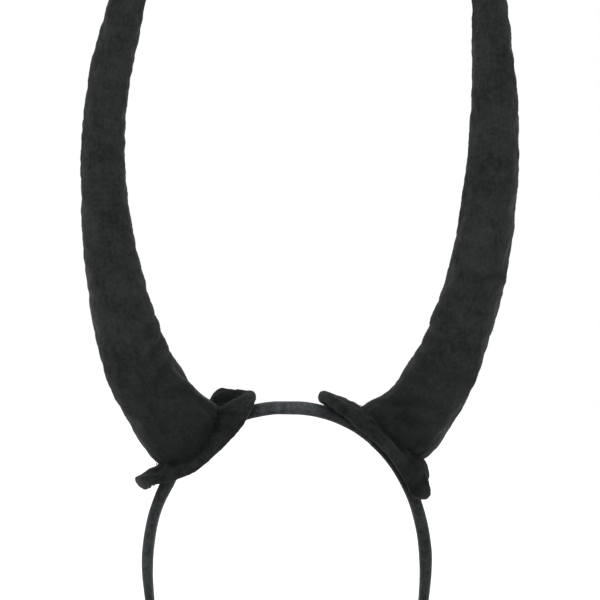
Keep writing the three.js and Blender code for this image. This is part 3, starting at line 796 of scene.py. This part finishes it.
def pad_outline(side, turn, scale, inset):
    """A blunt oval, narrowed at the front where it nears the crown; its outer end may be cut back
    except for a lobe at the front, which then reaches further."""
    c, s = math.cos(turn), math.sin(turn)
    at_outer, at_crown = side["bluntness"]
    power = 2.0 / (at_outer if side["crown"] * c < 0 else at_crown)
    wobble = 1.0 + 0.014 * math.sin(3.0 * turn + side["seed"]) + 0.010 * math.sin(7.0 * turn)
    u = (side["half_length"] * scale * wobble - inset) * math.copysign(abs(c) ** power, c)
    v = (side["half_depth"] * scale * wobble - inset) * math.copysign(abs(s) ** power, s)
    crown_share = side["crown"] * u / side["half_length"]
    if v < 0:
        v *= 1.0 - side["crown_taper"] * smooth(*CROWN_TAPER_SHARES, crown_share)
    cut = side["outer_cut"] * smooth(*OUTER_CUT_DEPTHS, v)
    reach = side["lobe_reach"] * smooth(*LOBE_REACH_DEPTHS, -v)
    return u * (1.0 + (reach - cut) * smooth(*OUTER_CUT_SHARES, -crown_share)), v


def pad_rings(side, profile, sectors, wrinkled):
    """Rings round a pad from a profile of (scale, inset from the rim, offset from the face)."""
    rings = []
    for scale, inset, offset in profile:
        ring = []
        pressed = min(1.0, max(0.0, 1.0 + offset / (DENT_REACH * side["thickness"])))
        for i in range(sectors):
            turn = 2.0 * math.pi * i / sectors
            u, v = pad_outline(side, turn, scale, inset)
            lift = pad_wrinkle(side, u, v, scale ** 3) if wrinkled else 0.0
            lift += pressed * pad_dents(side, u, v)
            if wrinkled and offset >= 0.0:
                lift += foot_gather(side, u, v)
            ring.append(tuple(pad_point(side, u, v, offset + lift)))
        rings.append(ring)
    return rings


def pad_painted_shading(side, point):
    """Painted highlight on rims and rolls, painted shade round the foot and in hollows, painted light
    spots, darker a little all over.
    """
    centre, along, _ = pad_axes(side)
    u, v = float(np.dot(np.array(point) - centre, along)), point[1]
    share = max(abs(u) / side["half_length"], abs(v) / side["half_depth"])
    from_foot, _ = round_foot(side, u, v)
    crease = side["crease"] * bell(from_foot - 1.03, 0.09)
    lighter = sum(amount * spot(u, v, place) for *place, amount in side["painted_light_spots"])
    return 0.16 + crease - lighter - 0.35 * smooth(0.8, 1.0, share) - 0.3 * pad_dents(side, u, v)


def cover_profile(depth):
    """The cover's face, its rolled edge, the hem turned in under it, and the inside of its face."""
    top = [(s, 0.0, 0.0) for s in [0.08, 0.3, 0.42, 0.5] + list(np.linspace(0.54, 0.84, 22))]
    edge = [(1.0, 3.4, 0.15), (1.0, 1.8, 0.45), (1.0, 0.8, 0.0), (1.0, 0.2, -0.9),
            (1.0, 0.0, -depth / 2), (1.0, 0.3, 0.9 - depth), (1.0, 0.9, 0.2 - depth),
            (1.0, 2.0, -depth), (1.0, 3.0, -depth)]
    hem = [(1.0, 3.1, 0.5 - depth), (1.0, 2.2, 1.6 - depth), (1.0, 1.9, -1.6),
           (1.0, 2.6, -COVER_CLOTH)]
    inside = [(s, 0.0, -COVER_CLOTH) for s in np.linspace(0.88, 0.06, 12)]
    return top + edge + hem + inside


def build_pad(side):
    name, depth = side["name"], side["thickness"]
    rings = pad_rings(side, cover_profile(depth), PAD_SECTORS, True)
    middle = pad_wrinkle(side, 0, 0, 0)
    cover = skin_rings(f"{name}_shaded_pad_velvet", rings,
                       first_pole=tuple(pad_point(side, 0, 0, middle)),
                       last_pole=tuple(pad_point(side, 0, 0, middle - COVER_CLOTH)))
    subdivide(cover)
    roughen_nap(cover, 0.25, side["seed"] + 5.0)
    set_painted_shading(cover, lambda point, _: pad_painted_shading(side, point))
    dress(cover, SHADED_PAD_VELVET)
    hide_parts(f"{name}_pad_cover")
    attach(cover, f"{name}_mount")

    foam = pad_layer(side, "pad_filling", (FOAM_TOP, depth - FOAM_BASE), FOAM_INSET,
                     f"{name}_pad_foam", FOAM)
    pad_layer(side, "pad_underside", (depth - LINING_TOP, depth - LINING_BASE), LINING_INSET,
              f"{name}_pad_lining", FELT)
    build_hem_stitches(side)


def pad_layer(side, label, depths, inset, node, material):
    """A layer inside the pad, between two depths below its face."""
    name = side["name"]
    top, base = depths
    scales = [(s, 0.0) for s in np.linspace(0.1, 0.85, 8)] + [(1.0, inset)]
    rows = [(s, i, -top) for s, i in scales]
    rows.append((1.0, inset - 0.25, -(top + base) / 2))
    rows += [(s, i, -base) for s, i in scales[::-1]]
    piece = skin_rings(f"{name}_{label}", pad_rings(side, rows, LAYER_SECTORS, False),
                       first_pole=tuple(pad_point(side, 0, 0, -top)),
                       last_pole=tuple(pad_point(side, 0, 0, -base)))
    dress(piece, material)
    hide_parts(node)
    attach(piece, f"{name}_mount")
    return piece


def build_hem_stitches(side):
    """Running stitches round the turned hem on the pad's underside."""
    depth, paths = side["thickness"], []
    for k in range(HEM_STITCHES):
        path = []
        for part in (0.0, 0.25, 0.5, 0.75, 1.0):
            turn = 2.0 * math.pi * (k + 0.58 * part) / HEM_STITCHES
            u, v = pad_outline(side, turn, 1.0, HEM_STITCH_INSET)
            rise = 0.22 * math.sin(math.pi * part)
            lift = pad_wrinkle(side, u, v, 1.0)
            path.append(tuple(pad_point(side, u, v, lift - depth - rise)))
        paths.append(path)
    stitches = tube_pieces(f"{side['name']}_hem_stitches", paths, HEM_THREAD_RADIUS)
    dress(stitches, THREAD)
    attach(stitches, f"{side['name']}_mount")


# ------------------------------------------------------------------ horns

def catmull(rows, place):
    """Catmull-Rom through the rows; place runs 0 to 1 by row number."""
    n = len(rows) - 1
    x = min(max(place, 0.0), 1.0) * n
    i = min(int(x), n - 1)
    t = x - i
    p = [np.array(rows[min(max(k, 0), n)], float) for k in (i - 1, i, i + 1, i + 2)]
    if i == 0:
        p[0] = 2 * p[1] - p[2]
    if i == n - 1:
        p[3] = 2 * p[2] - p[1]
    return 0.5 * (2 * p[1] + (p[2] - p[0]) * t + (2 * p[0] - 5 * p[1] + 4 * p[2] - p[3]) * t * t
                  + (3 * p[1] - p[0] - 3 * p[2] + p[3]) * t ** 3)


def spine_table(side, count):
    """Evenly spaced places up the horn: centre, width, along and across."""
    fine = [catmull(side["spine"], k / 600.0) for k in range(601)]
    steps = [0.0] + [math.hypot(b[0] - a[0], b[1] - a[1]) for a, b in zip(fine, fine[1:])]
    run = np.cumsum(steps)
    table = []
    for k in range(count + 1):
        s = run[-1] * k / count
        x, z, w = (float(np.interp(s, run, [f[c] for f in fine])) for c in range(3))
        x0, z0 = (float(np.interp(max(0.0, s - 1.0), run, [f[c] for f in fine])) for c in (0, 1))
        x1, z1 = (float(np.interp(min(run[-1], s + 1.0), run, [f[c] for f in fine])) for c in (0, 1))
        along = np.array([x1 - x0, 0.0, z1 - z0])
        along /= np.linalg.norm(along)
        across = np.array([along[2], 0.0, -along[0]])
        table.append((s, np.array([x, 0.0, z]), w, along, across))
    return table


def foot_point(side, turn, grow, offset):
    """A point on the crease where the horn's foot meets its pad."""
    middle, half_u, half_v = side["foot"]
    u = middle + (half_u + grow) * math.cos(turn)
    v = (half_v + grow) * math.sin(turn)
    lift = pad_wrinkle(side, u, v, 0.4)
    return pad_point(side, u, v, offset + lift)


def horn_rings(side, inset, count, wrinkled):
    """Rings up the horn inside its outline by an inset, with the two seams drawn in if wrinkled."""
    rings, lengths = [], []
    table = spine_table(side, count)
    for s, centre, width, _, across in table:
        ring = []
        for i in range(AROUND):
            turn = 2.0 * math.pi * i / AROUND
            c, d = math.cos(turn), math.sin(turn)
            seam = SEAM_DEPTH * bell(d, 0.12) if wrinkled else 0.0
            half = width / 2.0 - inset - seam
            deep = (width / 2.0 * FLATTENING - inset) * d
            p = centre + across * half * c + np.array([0.0, deep, 0.0])
            if s < FOOT_RISE:
                low = foot_point(side, turn, -inset, -FOOT_SINK)
                share = rise_share(s / FOOT_RISE, side["crown"] * c)
                p = low * (1.0 - share) + p * share
            ring.append(p)
        rings.append(ring)
        lengths.append(s)
    return rings, lengths, table


def rise_share(t, toward_crown):
    """How far the skin has left its foot for the horn's own line; it flares more on the crown side."""
    return 1.0 - (1.0 - t) ** (1.7 - 0.7 * max(0.0, toward_crown))


def horn_creases(side):
    """Where the velvet is drawn into folds: height up the horn, turn round it in degrees, length,
    width, depth and slant."""
    if side["name"] == "left":
        return [
            (30.0, -35.0, 12.0, 2.2, 1.0, 0.5), (42.0, -25.0, 13.0, 2.4, 1.0, 0.6),
            (52.0, -30.0, 12.0, 2.0, 0.8, 0.4), (24.0, -55.0, 10.0, 2.6, 0.8, 0.2),
            (66.0, -20.0, 12.0, 2.4, 0.7, 0.5), (88.0, -25.0, 10.0, 2.4, 0.5, 0.3),
            (14.0, -40.0, 8.0, 2.2, 0.9, -0.2), (36.0, -120.0, 12.0, 3.0, 0.4, -0.3),
            (8.0, -20.0, 2.0, 6.0, -0.9, 0.0), (8.0, -34.0, 2.4, 6.0, 0.8, 0.0),
            (70.0, -150.0, 12.0, 3.0, 0.4, -0.3),
        ]
    return [
        (9.0, -90.0, 7.5, 1.7, 1.0, 0.1), (5.5, -90.0, 7.0, 1.5, -0.6, 0.1),
        (16.0, -118.0, 7.0, 1.6, 0.8, 0.1), (6.0, -62.0, 5.0, 1.6, 0.7, 0.2),
        (48.0, -155.0, 13.0, 2.4, 1.0, -0.5), (60.0, -140.0, 12.0, 2.2, 0.9, -0.4),
        (36.0, -150.0, 12.0, 2.4, 0.9, -0.5), (22.0, -140.0, 10.0, 2.4, 0.9, 0.1),
        (12.0, -120.0, 10.0, 2.0, 1.0, 0.4), (74.0, -60.0, 14.0, 2.4, 0.6, 0.4),
        (82.0, -75.0, 12.0, 2.4, 0.5, 0.3), (96.0, -150.0, 10.0, 2.6, 0.5, -0.4),
        (34.0, -60.0, 12.0, 3.0, 0.4, 0.3),
    ]


def crease_depth(creases, s, degrees, radius):
    """Sum of the folds at a place on the horn, in millimetres inwards."""
    total = 0.0
    for height, turn, length, width, depth, slant in creases:
        across = math.radians(((degrees - turn + 180.0) % 360.0) - 180.0) * radius
        up = s - height - slant * across
        if abs(across) < 2.5 * length and abs(up) < 5.0 * width:
            ridge = bell(up, width) - 0.45 * bell(up - 2.0 * width, 1.2 * width)
            total += depth * ridge * bell(across, length)
    return total


def horn_lumps(side, point):
    """The filling's unevenness, felt through the skin."""
    place = Vector(tuple(point))
    broad = noise.noise(place * 0.055 + Vector((side["seed"], 0, 0))) * 0.55
    return broad + noise.noise(place * 0.16 + Vector((0, side["seed"], 0))) * 0.28


def foot_pucker(s, turn):
    """Short gathers at the foot's stitching, and the swell just above it."""
    gather = 0.3 * math.sin(26.0 * turn + 2.0 * math.sin(3.0 * turn)) * bell(s - 2.0, 4.0)
    return gather + 0.9 * bell(s - 6.5, 4.5)


def horn_painted_shading(side, point, s, dent):
    """Painted shade on the horn towards the pad, in the crease and in the folds."""
    foot = np.array([side["pivot"][0], 0.0, side["pivot"][1]])
    shade_near_foot = math.exp(-max(0.0, np.linalg.norm(point - foot) - FOOT_SHADE_REACH) / FOOT_SHADE_FADE)
    in_crease = 0.8 * side["crease"] * bell(s, 3.5)
    return side["foot_shade"] * shade_near_foot + in_crease + 0.28 * dent


def build_horn_skin(side):
    """One velvet skin from the crease on the pad to the tip, puffed out by its filling."""
    name = side["name"]
    rings, lengths, table = horn_rings(side, side["skin_inset"], SKIN_RINGS, True)
    creases = horn_creases(side)
    shaped, shares = [], []
    for (s, _, width, _, across), ring in zip(table, rings):
        fade = smooth(0.0, 8.0, s) * smooth(0.0, 40.0, lengths[-1] - s)
        row = []
        for i, p in enumerate(ring):
            turn = 2.0 * math.pi * i / AROUND
            outward = across * math.cos(turn) + np.array([0.0, math.sin(turn), 0.0])
            dent = crease_depth(creases, s, math.degrees(turn), width / 2.0)
            push = (horn_lumps(side, p) - dent) * fade + foot_pucker(s, turn)
            row.append(tuple(p + outward * push))
            shares.append(horn_painted_shading(side, p, s, dent * fade))
        shaped.append(row)
    end = table[-1]
    tip = end[1] + end[3] * (end[2] / 2.0 - 0.5) * 0.75
    skin = skin_rings(f"{name}_horn_velvet", shaped, last_pole=tuple(tip), lengths=lengths)
    store_painted_shading(skin, shares + [0.0])
    puff_cloth(skin, AROUND, len(shaped))
    subdivide(skin)
    roughen_nap(skin, 0.22, side["seed"])
    dress(skin, VELVET)
    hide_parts(f"{name}_horn_front_panel", f"{name}_horn_back_panel", f"{name}_horn_cuff")
    return skin


def puff_cloth(obj, around, ring_count):
    """Fills the skin: pinned along both seams, the crease and the tip, it puffs and wrinkles between."""
    pins = obj.vertex_groups.new(name="pins")
    half = around // 2
    for r in range(ring_count):
        held = 1.0 if r < 2 or r > ring_count - 6 else 0.0
        for i in range(around):
            weight = held
            if i % half == 0:
                weight = max(weight, 0.9)
            if weight > 0.0:
                pins.add([r * around + i], weight, "REPLACE")
    before = np.empty(len(obj.data.vertices) * 3)
    obj.data.vertices.foreach_get("co", before)
    cloth = obj.modifiers.new("cloth", "CLOTH")
    settings = cloth.settings
    settings.quality = 6
    settings.mass = 0.15
    settings.tension_stiffness = 12.0
    settings.compression_stiffness = 12.0
    settings.shear_stiffness = 6.0
    settings.bending_stiffness = 0.25
    settings.use_pressure = True
    settings.uniform_pressure_force = 2.5
    settings.shrink_min = -0.012
    settings.vertex_group_mass = "pins"
    settings.effector_weights.gravity = 0.0
    cloth.collision_settings.use_collision = False
    cloth.point_cache.frame_start = 1
    cloth.point_cache.frame_end = CLOTH_FRAMES
    scene = bpy.context.scene
    for number in range(1, CLOTH_FRAMES + 1):
        scene.frame_set(number)
    apply_modifiers(obj)
    scene.frame_set(1)
    after = np.empty(len(obj.data.vertices) * 3)
    obj.data.vertices.foreach_get("co", after)
    move = (after - before).reshape(-1, 3)
    size = np.linalg.norm(move, axis=1, keepdims=True)
    move *= np.minimum(1.0, CLOTH_CAP * MM / np.maximum(size, 1e-9))
    obj.data.vertices.foreach_set("co", (before.reshape(-1, 3) + move).ravel())
    obj.data.update()


def build_horn_fill(side):
    name = side["name"]
    rings, lengths, table = horn_rings(side, FILL_INSET, FILL_RINGS, False)
    end = table[-4]
    rings, lengths = rings[1:-3], lengths[1:-3]
    fill = skin_rings(f"{name}_horn_filling", [[tuple(p) for p in ring] for ring in rings],
                      first_pole=tuple(np.mean(np.array(rings[0]), axis=0)),
                      last_pole=tuple(end[1] + end[3] * 1.0), lengths=lengths)
    dress(fill, FILL)
    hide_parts(f"{name}_horn_stuffing", f"{name}_cuff_stuffing")
    return fill


def build_foot_stitches(side):
    """Ladder stitches drawn across the crease between the horn's foot and its pad."""
    paths = []
    for k in range(FOOT_STITCHES):
        turn = 2.0 * math.pi * (k + 0.15 * math.sin(5.0 * k)) / FOOT_STITCHES
        lean = 0.035 * math.sin(3.0 * k)
        path = []
        for part in np.linspace(0.0, 1.0, 6):
            grow = 1.1 - 0.9 * part
            offset = -0.2 + 0.6 * part + 0.25 * math.sin(math.pi * part)
            path.append(tuple(foot_point(side, turn + lean * part, grow, offset)))
        paths.append(path)
    stitches = tube_pieces(f"{side['name']}_foot_stitches", paths, FOOT_THREAD_RADIUS)
    dress(stitches, THREAD)
    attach(stitches, f"{side['name']}_mount")


def blend_horn(piece):
    """Bakes the piece's placement into its mesh."""
    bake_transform(piece)


def build_horn(side):
    skin = build_horn_skin(side)
    fill = build_horn_fill(side)
    blend_horn(skin)
    blend_horn(fill)
    build_foot_stitches(side)


# ------------------------------------------------------------------ stage, light and camera

# The stage and the camera, in metres; the lens is in millimetres.
FLOOR_HALF = 3.0
FLOOR_HEIGHT = -0.1375
CAMERA_PLACE = (0.00624, -1.2, 0.05496)
CAMERA_LENS = 150.0


def build_stage():
    floor = bpy.data.meshes.new("floor")
    corners = [(x * FLOOR_HALF, y * FLOOR_HALF, FLOOR_HEIGHT)
               for x, y in ((-1, -1), (1, -1), (1, 1), (-1, 1))]
    floor.from_pydata(corners, [], [(0, 1, 2, 3)])
    obj = bpy.data.objects.new("floor", floor)
    bpy.context.scene.collection.objects.link(obj)
    material, tree, shader = node_material("floor_paper")
    coords = tree.nodes.new("ShaderNodeTexCoord")
    tone = noise_node(tree, coords.outputs["Object"], 6.0, 2.0, 0.5)
    colour = ramp(tree, tone, [(0.3, (0.93, 0.93, 0.93)), (0.7, (0.96, 0.96, 0.96))])
    tree.links.new(colour, shader.inputs["Base Color"])
    shader.inputs["Roughness"].default_value = 0.9
    shader.inputs["Emission Color"].default_value = (1.0, 1.0, 1.0, 1.0)
    shader.inputs["Emission Strength"].default_value = 0.25
    obj.data.materials.append(material)


def area_light(name, place, target, size, power):
    data = bpy.data.lights.new(name, "AREA")
    data.shape = "SQUARE"
    data.size = size
    data.energy = power
    light = bpy.data.objects.new(name, data)
    light.location = place
    light.rotation_euler = (Vector(target) - Vector(place)).to_track_quat("-Z", "Y").to_euler()
    bpy.context.scene.collection.objects.link(light)


def build_light():
    world = bpy.data.worlds.new("studio")
    world.use_nodes = True
    background = world.node_tree.nodes["Background"]
    background.inputs["Color"].default_value = (1.0, 1.0, 1.0, 1.0)
    background.inputs["Strength"].default_value = 1.0
    bpy.context.scene.world = world
    area_light("key", (-0.7, -1.1, 1.0), (0.0, 0.0, 0.05), 0.7, 7.0)
    area_light("fill", (0.9, -1.0, 0.5), (0.0, 0.0, 0.05), 0.9, 2.0)


def build_camera():
    data = bpy.data.cameras.new("camera")
    data.sensor_width = 36.0
    data.lens = CAMERA_LENS
    camera = bpy.data.objects.new("camera", data)
    camera.location = CAMERA_PLACE
    camera.rotation_euler = (math.pi / 2.0, 0.0, 0.0)
    bpy.context.scene.collection.objects.link(camera)
    bpy.context.scene.camera = camera
    bpy.context.scene.view_settings.view_transform = "Standard"


def dress_cad_nodes():
    for name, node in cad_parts.items():
        if "wire" in name:
            dress_slots(node, WIRE)
        elif "core" in name:
            dress_slots(node, PLASTIC)


def dress_slots(node, material):
    for slot in node.material_slots:
        slot.material = material


build_camera()
build_light()
build_stage()
build_headband()
for horn_side in (LEFT, RIGHT):
    build_pad(horn_side)
    build_horn(horn_side)
dress_cad_nodes()
